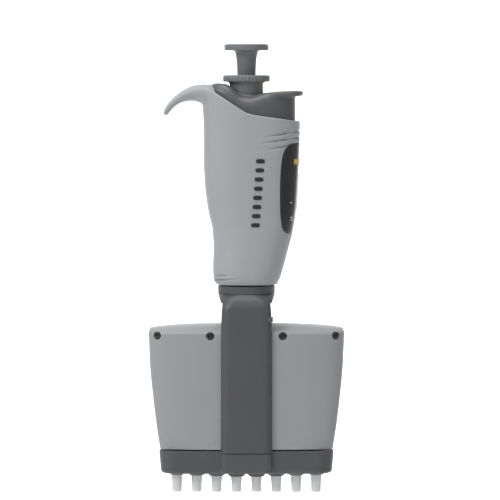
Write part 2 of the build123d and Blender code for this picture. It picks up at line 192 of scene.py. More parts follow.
def joined(name, objects):
    """Joins objects into one piece, which keeps its parts' closed surfaces."""
    bm = bmesh.new()
    for obj in objects:
        part = obj.evaluated_get(bpy.context.evaluated_depsgraph_get()).to_mesh()
        bm.from_mesh(part)
        obj.to_mesh_clear()
    mesh = bpy.data.meshes.new(name)
    bm.to_mesh(mesh)
    bm.free()
    for polygon in mesh.polygons:
        polygon.use_smooth = True
    piece = bpy.data.objects.new(name, mesh)
    bpy.context.scene.collection.objects.link(piece)
    for obj in objects:
        bpy.data.objects.remove(obj, do_unlink=True)
    return piece


def apply_modifiers(obj):
    bpy.context.view_layer.update()
    graph = bpy.context.evaluated_depsgraph_get()
    mesh = bpy.data.meshes.new_from_object(obj.evaluated_get(graph))
    obj.modifiers.clear()
    old = obj.data
    obj.data = mesh
    bpy.data.meshes.remove(old)
    return obj


def cut(obj, cutters):
    """Cuts closed pieces out of a closed mesh and removes them."""
    for cutter in cutters:
        change = obj.modifiers.new("cut", "BOOLEAN")
        change.operation = "DIFFERENCE"
        change.solver = "EXACT"
        change.object = cutter
    apply_modifiers(obj)
    for cutter in cutters:
        bpy.data.objects.remove(cutter, do_unlink=True)


def soften(obj, width, angle):
    """Small rounded edges, as moulded pieces have, then smooth shading between them."""
    bevel = obj.modifiers.new("soft edges", "BEVEL")
    bevel.width = width * MM
    bevel.segments = 3
    bevel.limit_method = "ANGLE"
    bevel.angle_limit = math.radians(angle)
    bevel.use_clamp_overlap = True
    bevel.harden_normals = True


def remesh_smooth(obj, voxel, rounds):
    """One even skin over overlapping solids, with its creases relaxed."""
    merge = obj.modifiers.new("merge", "REMESH")
    merge.mode = "VOXEL"
    merge.voxel_size = voxel * MM
    relax = obj.modifiers.new("relax", "SMOOTH")
    relax.factor = 0.5
    relax.iterations = rounds
    apply_modifiers(obj)
    for polygon in obj.data.polygons:
        polygon.use_smooth = True


# --- materials ---
GRAIN_SCALE = 2600.0  # moulded grain, in cells per metre
CLOUD_SCALE = 55.0  # slow change of tone over a moulding
PATCH_SCALE = 130.0  # change of gloss over a moulding


def ramp(tree, source, low, high):
    """Maps a 0..1 texture value to a span."""
    node = tree.nodes.new("ShaderNodeMapRange")
    node.inputs["To Min"].default_value = low
    node.inputs["To Max"].default_value = high
    tree.links.new(source, node.inputs["Value"])
    return node.outputs["Result"]


def noise(tree, scale, detail=3.0, rough=0.5):
    place = tree.nodes.new("ShaderNodeTexCoord")
    node = tree.nodes.new("ShaderNodeTexNoise")
    node.inputs["Scale"].default_value = scale
    node.inputs["Detail"].default_value = detail
    node.inputs["Roughness"].default_value = rough
    tree.links.new(place.outputs["Object"], node.inputs["Vector"])
    return node.outputs["Fac"]


def plastic(name, colour, roughness, depth=0.035, vary=0.04, edge_wear_and_highlight=0.05, coat=0.0, sheer=0.0):
    """Moulded plastic: spark-eroded grain, faint cloudiness, and lighter edges, partly polish from
    handling and partly a painted highlight.
    """
    material = bpy.data.materials.new(name)
    material.use_nodes = True
    tree = material.node_tree
    shader = tree.nodes["Principled BSDF"]
    shader.inputs["Coat Weight"].default_value = coat
    shader.inputs["Coat Roughness"].default_value = 0.08
    if sheer:
        shader.inputs["Subsurface Weight"].default_value = sheer
        shader.inputs["Subsurface Radius"].default_value = (0.002, 0.002, 0.002)
        shader.inputs["Subsurface Scale"].default_value = 1.0

    cloud = noise(tree, CLOUD_SCALE, 4.0)
    # Convex edges, found by pointiness, are mixed towards a lighter colour: partly wear from
    # handling, partly a painted highlight.
    geometry = tree.nodes.new("ShaderNodeNewGeometry")
    edge = tree.nodes.new("ShaderNodeMapRange")
    edge.inputs["From Min"].default_value = 0.52
    edge.inputs["From Max"].default_value = 0.62
    tree.links.new(geometry.outputs["Pointiness"], edge.inputs["Value"])

    mix = tree.nodes.new("ShaderNodeMix")
    mix.data_type = "RGBA"
    dark = [c * (1 - vary) for c in colour] + [1]
    light = [min(c * (1 + vary), 1) for c in colour] + [1]
    mix.inputs["A"].default_value = dark
    mix.inputs["B"].default_value = light
    tree.links.new(cloud, mix.inputs["Factor"])
    worn_and_highlit = tree.nodes.new("ShaderNodeMix")
    worn_and_highlit.data_type = "RGBA"
    worn_and_highlit.inputs["B"].default_value = [min(c * 1.25 + 0.02, 1) for c in colour] + [1]
    strength = tree.nodes.new("ShaderNodeMath")
    strength.operation = "MULTIPLY"
    strength.inputs[1].default_value = edge_wear_and_highlight * 4
    tree.links.new(edge.outputs["Result"], strength.inputs[0])
    tree.links.new(strength.outputs[0], worn_and_highlit.inputs["Factor"])
    tree.links.new(mix.outputs["Result"], worn_and_highlit.inputs["A"])
    tree.links.new(worn_and_highlit.outputs["Result"], shader.inputs["Base Color"])

    patches = noise(tree, PATCH_SCALE, 5.0)
    tree.links.new(ramp(tree, patches, roughness - 0.06, roughness + 0.06),
                   shader.inputs["Roughness"])
    bump = tree.nodes.new("ShaderNodeBump")
    bump.inputs["Strength"].default_value = depth * 6
    bump.inputs["Distance"].default_value = 0.00004
    tree.links.new(noise(tree, GRAIN_SCALE, 2.0, 0.6), bump.inputs["Height"])
    tree.links.new(bump.outputs["Normal"], shader.inputs["Normal"])
    return material


def metal(name, colour, roughness):
    """Ground or turned metal: fine scratches across its length."""
    material = bpy.data.materials.new(name)
    material.use_nodes = True
    tree = material.node_tree
    shader = tree.nodes["Principled BSDF"]
    shader.inputs["Metallic"].default_value = 1.0
    place = tree.nodes.new("ShaderNodeTexCoord")
    stretch = tree.nodes.new("ShaderNodeMapping")
    stretch.inputs["Scale"].default_value = (1.0, 1.0, 30.0)
    tree.links.new(place.outputs["Object"], stretch.inputs["Vector"])
    lines = tree.nodes.new("ShaderNodeTexNoise")
    lines.inputs["Scale"].default_value = 220.0
    lines.inputs["Detail"].default_value = 4.0
    tree.links.new(stretch.outputs["Vector"], lines.inputs["Vector"])
    mix = tree.nodes.new("ShaderNodeMix")
    mix.data_type = "RGBA"
    mix.inputs["A"].default_value = [c * 0.86 for c in colour] + [1]
    mix.inputs["B"].default_value = [min(c * 1.05, 1) for c in colour] + [1]
    tree.links.new(lines.outputs["Fac"], mix.inputs["Factor"])
    tree.links.new(mix.outputs["Result"], shader.inputs["Base Color"])
    tree.links.new(ramp(tree, lines.outputs["Fac"], roughness - 0.08, roughness + 0.1),
                   shader.inputs["Roughness"])
    return material


def clear_window(name):
    material = bpy.data.materials.new(name)
    material.use_nodes = True
    tree = material.node_tree
    shader = tree.nodes["Principled BSDF"]
    shader.inputs["Base Color"].default_value = (0.9, 0.93, 0.94, 1)
    shader.inputs["Transmission Weight"].default_value = 1.0
    shader.inputs["IOR"].default_value = 1.1
    tree.links.new(ramp(tree, noise(tree, 90.0), 0.01, 0.05), shader.inputs["Roughness"])
    return material


LIGHT_GREY = plastic("light_grey", (0.40, 0.41, 0.425), 0.46, vary=0.025)
MODULE_GREY = plastic("module_grey", (0.36, 0.365, 0.375), 0.5, vary=0.025)
DARK_GREY = plastic("dark_grey", (0.092, 0.093, 0.1), 0.42, vary=0.06)
SADDLE_GREY = plastic("saddle_grey", (0.118, 0.119, 0.126), 0.4, vary=0.05)
BUTTON_GREY = plastic("button_grey", (0.19, 0.195, 0.205), 0.38, vary=0.04)
BLACK_PANEL = plastic("black_panel", (0.012, 0.0115, 0.011), 0.16, depth=0.004, coat=0.6)
BLACK = plastic("black_plastic", (0.016, 0.016, 0.017), 0.5)
YELLOW = plastic("yellow_plastic", (0.72, 0.74, 0.34), 0.4)
AMBER = plastic("amber_mark", (0.86, 0.52, 0.05), 0.35)
NOZZLE = plastic("nozzle_plastic", (0.80, 0.81, 0.81), 0.3, depth=0.01, sheer=0.25, vary=0.02)
WHITE = plastic("white_plastic", (0.78, 0.77, 0.74), 0.4)
# The strong edge lightening paints highlight rims on the screw heads.
SCREW_BLACK = plastic("screw_black", (0.022, 0.022, 0.024), 0.26, edge_wear_and_highlight=0.3)
INK = plastic("ink", (0.02, 0.02, 0.022), 0.5, depth=0.01)
WHITE_INK = plastic("white_ink", (0.75, 0.76, 0.78), 0.5, depth=0.01)
RUBBER = plastic("seal_rubber", (0.02, 0.02, 0.02), 0.7)
STEEL = metal("steel", (0.60, 0.61, 0.62), 0.28)
BRASS = metal("brass", (0.66, 0.48, 0.20), 0.3)
WINDOW = clear_window("window_clear")


def finish_piece(obj, material, body, slot, *stands_for):
    """Gives a piece its material and the body it rides on, and hides the CAD nodes it stands for.
    """
    obj.data.materials.clear()
    obj.data.materials.append(material)
    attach(obj, body)
    if stands_for:
        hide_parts(*stands_for)


# --- handle ---
def rim_height(turn):
    """Height of the sloping rim at a turn, where the handle's skin meets the rim's curve."""
    top = 175.0
    for _ in range(6):
        top = curve(RIM, handle_point(turn, top)[0], 1)
    return top


def handle_shell():
    """The grip's wall from the bottom opening to the sloping rim, with a real thickness."""
    around, up = 120, 110
    opening = 9.6
    turns = [2 * math.pi * u / around for u in range(around)]
    tops = [rim_height(turn) for turn in turns]
    rows = []
    for v in range(up + 1):
        row = []
        for turn, top in zip(turns, tops):
            z = HANDLE_FOOT + (top - HANDLE_FOOT) * v / up
            x, y = handle_point(turn, z)
            row.append((x, y, z))
        rows.append(row)
    floor = []
    for share in (0.0, 0.25, 0.5, 0.75, 0.92):
        row = []
        for turn in turns:
            x, y = handle_point(turn, HANDLE_FOOT)
            hole_x, hole_y = opening * math.cos(turn), opening * math.sin(turn)
            x, y = hole_x + (x - hole_x) * share, hole_y + (y - hole_y) * share
            row.append((x, y, HANDLE_FOOT))
        floor.append(row)
    shell = grid("housing", floor + rows)
    wall = shell.modifiers.new("wall", "SOLIDIFY")
    wall.thickness = 1.25 * MM
    wall.offset = -1.0
    wall.use_even_offset = False
    return apply_modifiers(shell)


def rim_lip():
    """Rounded bead along the sloping rim of the handle."""
    around, section = 180, 12
    bead_radius = 0.66
    rows = []
    for u in range(around + 1):
        turn = 2 * math.pi * (u % around) / around
        top = rim_height(turn)
        x, y = handle_point(turn, top, 0.62)
        middle = Vector((x, y, top - 0.35))
        out = Vector((math.cos(turn), math.sin(turn), 0))
        row = []
        for k in range(section):
            a = 2 * math.pi * k / section
            offset = out * math.cos(a) + Vector((0, 0, math.sin(a)))
            row.append(tuple(middle + bead_radius * offset))
        rows.append(row)
    return grid("rim_lip", rows)


# x and height along the hook's back and its underside, from the handle to the tip
HOOK_BACK = [(-12.0, 184.0), (-16.0, 184.5), (-20.8, 184.6), (-25.0, 183.8), (-29.1, 181.7),
             (-32.4, 179.2), (-35.3, 176.2), (-37.2, 172.9), (-37.5, 170.7)]
HOOK_UNDER = [(-12.0, 168.0), (-17.0, 171.5), (-20.5, 175.8), (-24.5, 177.0), (-28.2, 176.4),
              (-30.9, 175.3), (-33.4, 173.2), (-34.9, 171.3), (-35.6, 170.5)]


def hook():
    """Tongue over the forefinger: rounded sections along the curve between back and underside."""
    rows = []
    steps = 48
    around = 32
    count = len(HOOK_BACK) - 1
    tip_start = 0.9

    def along(points, t):
        spaced = [(i / count, *point) for i, point in enumerate(points)]
        return curve(spaced, t, 1), curve(spaced, t, 2)

    for s in range(steps + 1):
        t = s / steps
        top, under = along(HOOK_BACK, t), along(HOOK_UNDER, t)
        half_width = 9.4 - 3.2 * t**2
        if t > tip_start:
            half_width *= math.sqrt(max(1 - ((t - tip_start) / 0.1) ** 2 * 0.5, 0.05))
        middle = ((top[0] + under[0]) / 2, (top[1] + under[1]) / 2)
        half = ((top[0] - under[0]) / 2, (top[1] - under[1]) / 2)
        row = []
        for u in range(around):
            turn = 2 * math.pi * u / around
            lift, side = oval_point(turn, 1.0, half_width, 3.0)
            row.append((middle[0] + half[0] * lift, side, middle[1] + half[1] * lift))
        rows.append(row)
    return grid("hook", rows, cap_first=True, cap_last=True)


GROOVES = [  # start x and z, end x and z, depth
    ((9.0, 161.0), (24.5, 163.6), 0.75),
    ((7.4, 158.1), (24.5, 160.8), 0.75),
    ((9.4, 155.3), (24.5, 157.9), 0.7),
    ((-16.0, 98.3), (-7.0, 98.8), 0.6),
    ((-16.0, 96.3), (-2.5, 97.3), 0.6),
]
GROOVE_HALF_WIDTH = 0.8
SEAM_HALF_WIDTH = 0.35
SEAM_DEPTH = 0.16


def in_groove_zone(x, y, z):
    """True on the skin round the upper and the lower grooves, where the mesh is made finer."""
    upper = x > 6 and 153.5 < z < 165.5
    lower = x < -1 and 95.0 < z < 100.5
    inside = abs(y) < 11.6 and 0 < x < 22.0
    return (upper or lower) and not inside


def press_grooves(obj):
    """Presses the grip grooves, which fade out along their length, and the halves' seam."""
    bm = bmesh.new()
    bm.from_mesh(obj.data)
    fine = [
        edge
        for edge in bm.edges
        if all(in_groove_zone(*(c / MM for c in vertex.co)) for vertex in edge.verts)
    ]
    bmesh.ops.subdivide_edges(bm, edges=fine, cuts=1, use_grid_fill=True)
    bm.to_mesh(obj.data)
    bm.free()
    for vertex in obj.data.vertices:
        x, y, z = (c / MM for c in vertex.co)
        if vertex.normal.x * (x - 2) + vertex.normal.y * y < 0:
            continue  # the inside of the wall stays smooth
        push = 0.0
        for (x0, z0), (x1, z1), depth in GROOVES:
            along = (x - x0) / (x1 - x0)
            if not -0.15 < along < 1.3:
                continue
            line = z0 + (z1 - z0) * along
            across = abs(z - line) / GROOVE_HALF_WIDTH
            if across >= 1:
                continue
            inner = along if x0 > 0 else 1 - along
            fade = min(max((inner + 0.1) / 0.45, 0.0), 1.0)
            push = max(push, depth * fade * (1 - across) ** 1.3)
        if abs(y) < SEAM_HALF_WIDTH:
            push = max(push, SEAM_DEPTH * (1 - abs(y) / SEAM_HALF_WIDTH))
        if push:
            vertex.co -= vertex.normal * push * MM


def build_housing():
    shell = joined("housing_shells", [handle_shell(), rim_lip(), hook()])
    remesh_smooth(shell, 0.42, 5)
    press_grooves(shell)
    finish_piece(shell, LIGHT_GREY, "root", "light_grey_plastic", "housing_front", "housing_rear")


# height and x of the black panel's front edge
PANEL_EDGE = [(117.0, 19.8), (118.0, 17.3), (121.0, 15.8), (128.0, 15.1), (136.0, 15.0),
              (144.0, 15.2), (151.0, 15.9), (155.5, 17.3), (157.8, 20.4)]


PANEL_PROUD = 0.22


def build_display():
    """Black panel that wraps the display side, with its window, mark and scale ticks."""
    rows = []
    up, around = 60, 40
    bottom, top = PANEL_EDGE[0][0], PANEL_EDGE[-1][0]
    for v in range(up + 1):
        z = bottom + (top - bottom) * v / up
        edge_x = curve(PANEL_EDGE, z, 1)
        left = curve(HANDLE, z, 1)
        right = curve(HANDLE, z, 2)
        centre, half = (left + right) / 2, (right - left) / 2
        share = min(max((edge_x - centre) / half, 0.0), 0.9999)
        rise = (1 - share**HANDLE_POWER) ** (1 / HANDLE_POWER)
        limit = math.atan2(rise, share)
        row = []
        for u in range(around + 1):
            turn = limit * (2 * u / around - 1)
            x, y = handle_point(turn, z, -PANEL_PROUD)
            row.append((x, y, z))
        rows.append(row)
    panel = grid("display_panel", rows, closed=False)
    wall = panel.modifiers.new("wall", "SOLIDIFY")
    wall.thickness = 1.3 * MM
    wall.offset = -1.0
    apply_modifiers(panel)
    slot = box_object("slot", (26.0, 0.0, 136.0), (14.0, 5.2, 16.0))
    cut(panel, [slot])
    soften(panel, 0.3, 50)
    finish_piece(panel, BLACK_PANEL, "root", "black_panel", "display_cover")

    amber = []
    for x in (21.7, 22.45):
        amber.append(skin_patch("mark", x - 0.26, x + 0.26, 148.6, 151.0, 0.3))
    finish_piece(joined("index_bars", amber), AMBER, "root", "yellow_plastic")
    ticks = []
    for i, z in enumerate((123.6, 124.8, 131.5)):
        ticks.append(skin_patch("tick", 19.7, 20.9 - 0.3 * i, z - 0.2, z + 0.2, 0.3))
    finish_piece(joined("scale_ticks", ticks), WHITE_INK, "root", "drum_white")


def box_object(name, centre, size):
    points = []
    for i in range(8):
        signs = (i & 1, i >> 1 & 1, i >> 2 & 1)
        points.append(tuple(c + s * (k - 0.5) for c, s, k in zip(centre, size, signs)))
    faces = [(0, 2, 3, 1), (4, 5, 7, 6), (0, 1, 5, 4), (2, 6, 7, 3), (0, 4, 6, 2), (1, 3, 7, 5)]
    return new_object(name, points, faces, smooth=False)


def skin_patch(name, x0, x1, z0, z1, proud=0.05):
    """Thin inlay that follows the front of the handle, with rounded ends."""
    across, up = 8, 14
    half_width, half_height = (x1 - x0) / 2, (z1 - z0) / 2
    centre_x, centre_z = (x0 + x1) / 2, (z0 + z1) / 2
    rows = []
    for v in range(up + 1):
        tall = -1 + 2 * v / up
        row = []
        for u in range(across + 1):
            wide = -1 + 2 * u / across
            squeeze = (1 - abs(tall) ** 6) ** 0.5 if abs(tall) > 0.6 else 1.0
            x = centre_x + wide * half_width * max(squeeze, 0.3)
            z = centre_z + tall * half_height
            row.append((x, handle_front_y(x, z, -proud), z))
        rows.append(row)
    patch = grid(name, rows, closed=False)
    wall = patch.modifiers.new("wall", "SOLIDIFY")
    wall.thickness = 0.4 * MM
    wall.offset = 0.0
    apply_modifiers(patch)
    return patch


def build_channel_mark():
    """Eight plain bars down the handle, one for each channel."""
    bars = []
    for i in range(CHANNELS):
        z = 121.5 + i * 4.1
        middle = 4.0 + i * 0.32
        bars.append(skin_patch("bar", middle - 1.9, middle + 1.9, z - 0.95, z + 0.95))
    mark = joined("channel_mark", bars)
    finish_piece(mark, INK, "root", "black_plastic")


COUNTER_X = 13.5
DRUM_RADIUS = 6.0
DRUM_STEP = 5.3
FIRST_DRUM_Z = 128.2
DRUM_HALF_HEIGHT = 2.55


def digit(character, turn, middle_z):
    """One printed figure, wrapped on a counter drum at a turn from the display side."""
    text = bpy.data.curves.new("figure", "FONT")
    text.body = character
    text.size = 4.4
    text.align_x, text.align_y = "CENTER", "CENTER"
    flat = bpy.data.objects.new("figure", text)
    bpy.context.scene.collection.objects.link(flat)
    bpy.context.view_layer.update()
    graph = bpy.context.evaluated_depsgraph_get()
    mesh = bpy.data.meshes.new_from_object(flat.evaluated_get(graph))
    bpy.data.objects.remove(flat, do_unlink=True)
    for vertex in mesh.vertices:
        angle = turn + vertex.co.x / DRUM_RADIUS
        x = COUNTER_X + DRUM_RADIUS * math.cos(angle)
        y = DRUM_RADIUS * math.sin(angle)
        vertex.co = (x * MM, y * MM, (middle_z + vertex.co.y) * MM)
    figure = bpy.data.objects.new("figure", mesh)
    bpy.context.scene.collection.objects.link(figure)
    wall = figure.modifiers.new("print", "SOLIDIFY")
    wall.thickness = 0.09 * MM
    wall.offset = 0.0
    return apply_modifiers(figure)


def build_figures():
    """Figures 0 to 9 round each drum; at rest they show the full volume of 200."""
    for i, (body, shown) in enumerate((("units", 0), ("tens", 0), ("hundreds", 2))):
        middle_z = FIRST_DRUM_Z + DRUM_STEP * i + DRUM_HALF_HEIGHT
        figures = []
        for value in range(10):
            turn = (value - shown) * 2 * math.pi / 10
            figures.append(digit(str(value), turn, middle_z))
        finish_piece(joined(f"{body}_figures", figures), INK, body, "black_plastic")


# --- controls on top ---
def build_button():
    """Push button with its flared stem."""
    outline = [(0.01, 186.0), (4.0, 186.0)]
    stem = [(186.0, 4.15), (189.0, 4.2), (193.0, 4.35), (197.0, 4.75), (199.2, 5.3)]
    outline += [(curve(stem, 187 + 12.2 * i / 14, 1), 187 + 12.2 * i / 14) for i in range(15)]
    outline += [(5.9, 199.62), (7.6, 199.66), (9.3, 199.68)]
    outline += arc((9.55, 200.2), 0.52, -80, 0, 5)
    outline += arc((9.45, 201.98), 0.62, 0, 85, 6)
    outline += [(9.0, 202.64), (8.2, 202.6), (6.5, 202.5), (4.0, 202.42), (0.01, 202.4)]
    button = turned("push_button_top", outline, segments=96)
    finish_piece(button, BUTTON_GREY, "plunger", "button_plastic", "push_button")


def build_ring():
    """Volume ring with its neck and its fluted grip."""
    flutes, flute_depth = 40, 0.34

    def ripple(radius, z, turn):
        if radius < 9.9 or not 185.6 < z < 188.6:
            return radius
        return radius - flute_depth * (0.5 + 0.5 * math.cos(flutes * turn)) ** 2

    outline = [(5.5, 172.0), (7.5, 172.0), (7.6, 172.3), (7.6, 182.2), (7.6, 184.3), (7.75, 184.9),
               (8.15, 185.35), (8.8, 185.62), (10.1, 185.64), (10.45, 185.8), (10.6, 186.2),
               (10.6, 187.1), (10.6, 187.9), (10.4, 188.35), (10.0, 188.62), (9.0, 188.7),
               (6.2, 188.7), (5.8, 188.6), (5.55, 188.2), (5.5, 180.0), (5.5, 172.0)]
    ring = turned("volume_ring", outline, segments=320, ripple=ripple)
    finish_piece(ring, BUTTON_GREY, "adjuster", "button_plastic", "adjustment_ring")


# x and height along the saddle's top, then x and the radius of its upper edge
SADDLE_TOP = [(-22.0, 184.2), (-18.0, 184.9), (-13.5, 185.1), (-10.0, 184.8), (-7.6, 183.9),
              (-5.6, 182.2), (-3.6, 180.5), (-1.2, 179.6), (1.6, 179.3), (4.6, 179.9),
              (7.6, 180.6), (11.0, 180.95), (17.0, 181.4), (26.0, 181.8)]
SADDLE_EDGE = [(-22.0, 3.2), (-14.0, 4.2), (-8.0, 5.2), (0.0, 5.4), (6.0, 5.2), (9.5, 4.6),
               (13.0, 3.0), (26.0, 2.4)]


def skirt_point(turn, z):
    """Point of the saddle's skirt, which is flat where it passes the root of the hook."""
    x, y = handle_point(turn, z, 2.15)
    return max(x, -17.85), y


def build_saddle():
    """Tip-ejector button: a skirt in the handle, a rounded top with a dip, and a thumb flange."""
    around = 160
    neck_hole = 8.4
    rows = []
    for z in (158.4, 162.0, 166.0, 170.0):
        rows.append([(*skirt_point(2 * math.pi * u / around, z), z) for u in range(around)])
    shares = [0.0, 0.05, 0.12, 0.2, 0.3, 0.42, 0.56, 0.72, 0.86, 1.0]
    for share in shares:
        row = []
        for u in range(around):
            turn = 2 * math.pi * u / around
            x0, y0 = skirt_point(turn, 176.0)
            radius = curve(SADDLE_EDGE, x0, 1)
            reach = radius * (1 - math.cos(share * math.pi / 2))
            drop = radius * (1 - math.sin(share * math.pi / 2))
            length = math.hypot(x0, y0)
            x, y = x0 * (1 - reach / length), y0 * (1 - reach / length)
            row.append((x, y, curve(SADDLE_TOP, x, 1) - drop))
        rows.append(row)
    for share in (0.15, 0.3, 0.45, 0.6, 0.75, 0.88, 0.96, 1.0):
        row = []
        for u in range(around):
            x0, y0, _ = rows[len(shares) + 3][u]
            turn = math.atan2(y0, x0)
            hole_x, hole_y = neck_hole * math.cos(turn), neck_hole * math.sin(turn)
            x, y = x0 + (hole_x - x0) * share, y0 + (hole_y - y0) * share
            sink = 0.5 * max(share - 0.8, 0) / 0.2
            row.append((x, y, curve(SADDLE_TOP, x, 1) - sink))
        rows.append(row)
    rows.append([(x, y, z - 3.0) for x, y, z in rows[-1]])
    skirt = grid("saddle", rows)
    wall = skirt.modifiers.new("wall", "SOLIDIFY")
    wall.thickness = 1.0 * MM
    wall.offset = -1.0
    apply_modifiers(skirt)
    body = joined("saddle_body", [skirt, thumb_flange()])
    remesh_smooth(body, 0.36, 4)
    finish_piece(body, SADDLE_GREY, "ejector", "dark_grey_plastic", "ejector_button")


def thumb_flange():
    """Closed rounded plate over the display side."""
    around = 72
    rows = []
    levels = 8
    half_thickness = 1.3
    for v in range(levels + 1):
        a = math.pi * (v / levels - 0.5)
        inset = half_thickness * (1 - math.cos(a))
        row = []
        for u in range(around):
            turn = 2 * math.pi * u / around
            x, y = oval_point(turn, 9.2 - inset, 12.6 - inset, 3.2)
            x += 16.5
            z = curve(SADDLE_TOP, x, 1) - half_thickness + half_thickness * math.sin(a)
            row.append((x, y, z))
        rows.append(row)
    return grid("flange", rows, cap_first=True, cap_last=True)


def build_plate():
    """Colour plate let into the thumb flange."""
    rows = []
    around = 48
    for inset, z in ((0.25, 0.0), (0.0, 0.12), (0.0, 0.24), (0.25, 0.36)):
        row = []
        for u in range(around):
            x, y = oval_point(2 * math.pi * u / around, 5.3 - inset, 7.2 - inset, 5.0)
            x += 16.6
            row.append((x, y, curve(SADDLE_TOP, x, 1) - 0.12 + z))
        rows.append(row)
    plate = grid("colour_tab", rows, cap_first=True, cap_last=True)
    finish_piece(plate, YELLOW, "ejector", "yellow_plastic", "colour_plate")


# --- module ---
def module_half(side):
    """One shell of the module, front (-1) or rear (1), open below and closed by its crown."""
    across, up = 96, 44
    rows = []
    for v in range(up + 1):
        z = MODULE_FOOT + (CROWN_FOOT - MODULE_FOOT) * v / up
        width, depth = curve(MODULE, z, 1), curve(MODULE, z, 2)
        row = []
        for u in range(across + 1):
            x, y = oval_point(math.pi * u / across, width, depth, MODULE_POWER)
            row.append((x, side * max(y, 0.04), z))
        rows.append(row)
    width, depth = curve(MODULE, CROWN_FOOT, 1), curve(MODULE, CROWN_FOOT, 2)
    for share, lift in ((0.012, 0.5), (0.04, 0.9), (0.09, 1.3), (0.18, 1.9), (0.3, 2.6),
                        (0.45, 3.3), (0.65, 3.9), (0.85, 4.25), (1.0, 4.35)):
        row = []
        for u in range(across + 1):
            x, y = oval_point(math.pi * u / across, width, depth, MODULE_POWER)
            end = (abs(x) / width) ** 4
            z = CROWN_FOOT + lift * (1 - 0.42 * end)
            row.append((x * (1 - 0.03 * share), side * max(y * (1 - share), 0.04), z))
        rows.append(row)
    name = "module_cover_front" if side < 0 else "module_cover_rear"
    shell = grid(name, rows, closed=False)
    wall = shell.modifiers.new("wall", "SOLIDIFY")
    wall.thickness = 1.2 * MM
    wall.offset = -1.0
    apply_modifiers(shell)
    return shell


def build_module():
    """Both shells of the module and the screw heads sunk into the front one."""
    front, rear = module_half(-1), module_half(1)
    recesses = []
    heads = []
    for x in SCREW_X:
        y = module_front_y(x, SCREW_Z)
        slope_x = module_front_y(x + 0.5, SCREW_Z) - module_front_y(x - 0.5, SCREW_Z)
        slope_z = module_front_y(x, SCREW_Z + 0.5) - module_front_y(x, SCREW_Z - 0.5)
        out = Vector((slope_x, -1.0, slope_z)).normalized()
        tilt = out.to_track_quat("Z", "Y").to_matrix().to_4x4()
        place = Matrix.Translation(Vector((x, y, SCREW_Z)) * MM) @ tilt
        outline = [(0.01, -0.8), (1.9, -0.8), (1.9, 1.0), (0.01, 1.0)]
        recess = turned("recess", outline, segments=45)
        recess.data.transform(place)
        recesses.append(recess)
        outline = [(0.01, -0.75), (1.7, -0.75), (1.72, -0.3), (1.6, -0.05), (1.3, 0.1),
                   (0.95, 0.16), (0.9, 0.1), (0.88, -0.5), (0.01, -0.5)]
        head = turned("head", outline, segments=48, ripple=hex_socket)
        head.data.transform(place)
        heads.append(head)
    cut(front, recesses)
    for shell in (front, rear):
        soften(shell, 0.25, 50)
    finish_piece(front, MODULE_GREY, "module", "light_grey_plastic", "module_shell_front")
    finish_piece(rear, MODULE_GREY, "module", "light_grey_plastic", "module_shell_rear")
    screws = joined("module_screw_heads", heads)
    finish_piece(screws, SCREW_BLACK, "module", "black_plastic", "module_screws")


def hex_socket(radius, z, turn):
    """Gives the inner wall of a screw head its six flats."""
    if radius > 0.93 or radius < 0.5:
        return radius
    part = (turn + math.pi / 6) % (math.pi / 3) - math.pi / 6
    return radius * math.cos(math.pi / 6) / math.cos(part)


def build_nozzles():
    for i, x in enumerate(NOZZLE_X):
        outline = [(0.95, 0.6), (1.0, 0.25), (1.2, 0.02), (1.7, 0.0)]
        outline += arc((1.65, 0.6), 0.6, -70, -5, 4)
        outline += [(2.3, 0.9), (2.3, 3.6), (2.42, 4.6), (2.5, 5.6), (2.62, 7.4), (2.65, 8.0),
                    (2.65, 20.1), (0.95, 20.1), (0.95, 0.6)]
        nozzle = turned(f"tip_cone_{i + 1}", outline, x=x, segments=48)
        finish_piece(nozzle, NOZZLE, "module", "nozzle_plastic", f"nozzle_{i + 1}")


# --- comb and column ---
def rounded_rect(half_width, half_depth, radius, steps=8):
    """Points round a rectangle with rounded corners, from +X round by +Y."""
    corners = [(1, 1, 0), (-1, 1, 90), (-1, -1, 180), (1, -1, 270)]
    points = []
    for sx, sy, start in corners:
        cx, cy = sx * (half_width - radius), sy * (half_depth - radius)
        for k in range(steps + 1):
            a = math.radians(start + 90 * k / steps)
            points.append((cx + radius * math.cos(a), cy + radius * math.sin(a)))
    return points


COLUMN = [  # height, half width, half depth, corner radius
    (18.5, 11.6, 11.4, 3.4),
    (50.0, 11.6, 13.8, 3.6),
    (76.0, 11.5, 15.7, 3.8),
    (81.0, 11.35, 15.9, 4.0),
    (84.0, 11.3, 15.8, 4.4),
    (86.0, 11.5, 15.2, 5.5),
    (88.0, 12.1, 14.2, 7.6),
    (89.4, 12.6, 13.3, 10.6),
    (90.25, 12.85, 12.85, 12.8),
]


def build_column():
    """Dark column in front of and behind the module, up to the swivelling ring."""
    rows = []
    levels = [18.5 + i * 2.0 for i in range(32)] + [81.5 + i * 0.55 for i in range(16)] + [90.25]
    for z in levels:
        width, depth, radius = (curve(COLUMN, z, k) for k in (1, 2, 3))
        rows.append([(x, y, z) for x, y in rounded_rect(width, depth, min(radius, width, depth))])
    column = grid("column", rows, cap_first=True, cap_last=True)
    clearance = 0.4
    turns = [2 * math.pi * u / 96 for u in range(96)]
    gap = []
    for z in (10.0, 19.9, 26.0, 32.0, 38.0, 44.0, 51.0, 58.0, 66.0, 73.2, 86.4):
        width, depth = curve(MODULE, z, 1) + clearance, curve(MODULE, z, 2) + clearance
        gap.append([(*oval_point(turn, width, depth, MODULE_POWER), z) for turn in turns])
    module_gap = grid("gap", gap, cap_first=True, cap_last=True)
    hole = turned("hole", [(0.01, 80), (8.5, 80), (8.5, 95), (0.01, 95)])
    cut(column, [module_gap, hole])
    soften(column, 0.35, 40)
    for polygon in column.data.polygons:
        polygon.use_smooth = True
    finish_piece(column, DARK_GREY, "comb", "dark_grey_plastic", "ejector_column")


